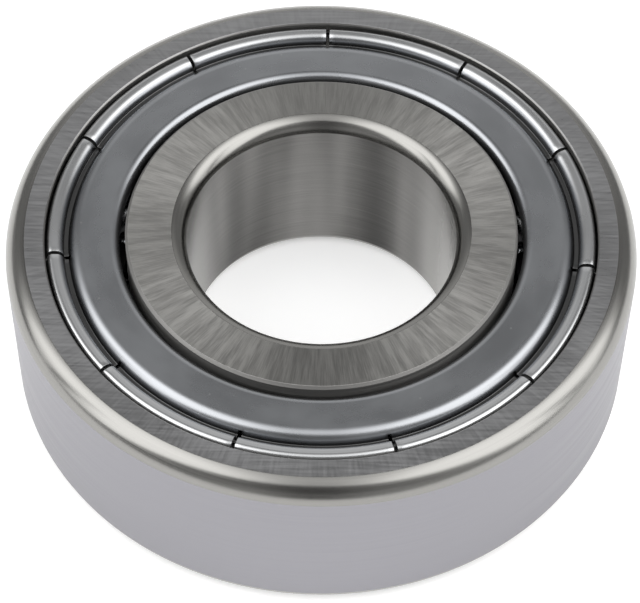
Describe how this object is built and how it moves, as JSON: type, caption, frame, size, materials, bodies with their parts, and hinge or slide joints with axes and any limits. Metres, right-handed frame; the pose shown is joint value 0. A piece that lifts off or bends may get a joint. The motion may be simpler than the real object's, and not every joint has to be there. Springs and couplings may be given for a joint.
{
  "type": "shielded deep groove ball bearing",
  "caption": "Single-row deep groove ball bearing: the inner ring turns in the outer ring on caged balls, and a crimped sheet steel shield closes each side.",
  "frame": {"origin": "centre of the bearing, on its axis and half-way between its side faces", "axes": "+Z along the bearing's axis, out of the upper side face; +Y towards a slot of the upper shield; +X towards the first ball"},
  "size_m": [0.035, 0.035, 0.011],
  "materials": {
    "outer_ring_steel": "ground",
    "inner_ring_steel": "ground",
    "shield_steel": "cold rolled, satin",
    "ball_steel": "polished",
    "cage_steel": "pressed strip",
    "rivet_steel": "headed wire"
  },
  "bodies": {
    "outer": {"outer_ring": "outer_ring_steel", "shield_upper": "shield_steel", "shield_lower": "shield_steel"},
    "inner": {"inner_ring": "inner_ring_steel"},
    "cage": {"cage_half_upper": "cage_steel", "cage_half_lower": "cage_steel", "rivet_1": "rivet_steel", "rivet_2": "rivet_steel", "rivet_3": "rivet_steel", "rivet_4": "rivet_steel", "rivet_5": "rivet_steel", "rivet_6": "rivet_steel", "rivet_7": "rivet_steel", "rivet_8": "rivet_steel"},
    "ball_1": {"ball_1": "ball_steel"},
    "ball_2": {"ball_2": "ball_steel"},
    "ball_3": {"ball_3": "ball_steel"},
    "ball_4": {"ball_4": "ball_steel"},
    "ball_5": {"ball_5": "ball_steel"},
    "ball_6": {"ball_6": "ball_steel"},
    "ball_7": {"ball_7": "ball_steel"},
    "ball_8": {"ball_8": "ball_steel"}
  },
  "joints": [
    {"name": "inner_ring_spin", "type": "hinge", "parent": "outer", "child": "inner", "pos_m": [0, 0, 0], "axis": [0, 0, 1], "continuous": true},
    {"name": "cage_orbit", "type": "hinge", "parent": "outer", "child": "cage", "pos_m": [0, 0, 0], "axis": [0, 0, 1], "continuous": true},
    {"name": "ball_1_spin", "type": "hinge", "parent": "cage", "child": "ball_1", "pos_m": [0.0125, 0, 0], "axis": [0, 0, 1], "continuous": true},
    {"name": "ball_2_spin", "type": "hinge", "parent": "cage", "child": "ball_2", "pos_m": [0.00884, 0.00884, 0], "axis": [0, 0, 1], "continuous": true},
    {"name": "ball_3_spin", "type": "hinge", "parent": "cage", "child": "ball_3", "pos_m": [0, 0.0125, 0], "axis": [0, 0, 1], "continuous": true},
    {"name": "ball_4_spin", "type": "hinge", "parent": "cage", "child": "ball_4", "pos_m": [-0.00884, 0.00884, 0], "axis": [0, 0, 1], "continuous": true},
    {"name": "ball_5_spin", "type": "hinge", "parent": "cage", "child": "ball_5", "pos_m": [-0.0125, 0, 0], "axis": [0, 0, 1], "continuous": true},
    {"name": "ball_6_spin", "type": "hinge", "parent": "cage", "child": "ball_6", "pos_m": [-0.00884, -0.00884, 0], "axis": [0, 0, 1], "continuous": true},
    {"name": "ball_7_spin", "type": "hinge", "parent": "cage", "child": "ball_7", "pos_m": [0, -0.0125, 0], "axis": [0, 0, 1], "continuous": true},
    {"name": "ball_8_spin", "type": "hinge", "parent": "cage", "child": "ball_8", "pos_m": [0.00884, -0.00884, 0], "axis": [0, 0, 1], "continuous": true}
  ],
  "couplings": [
    {"joint": "cage_orbit", "follows": "inner_ring_spin", "ratio": 0.38094},
    {"joint": "ball_1_spin", "follows": "inner_ring_spin", "ratio": -1.9807},
    {"joint": "ball_2_spin", "follows": "inner_ring_spin", "ratio": -1.9807},
    {"joint": "ball_3_spin", "follows": "inner_ring_spin", "ratio": -1.9807},
    {"joint": "ball_4_spin", "follows": "inner_ring_spin", "ratio": -1.9807},
    {"joint": "ball_5_spin", "follows": "inner_ring_spin", "ratio": -1.9807},
    {"joint": "ball_6_spin", "follows": "inner_ring_spin", "ratio": -1.9807},
    {"joint": "ball_7_spin", "follows": "inner_ring_spin", "ratio": -1.9807},
    {"joint": "ball_8_spin", "follows": "inner_ring_spin", "ratio": -1.9807}
  ]
}
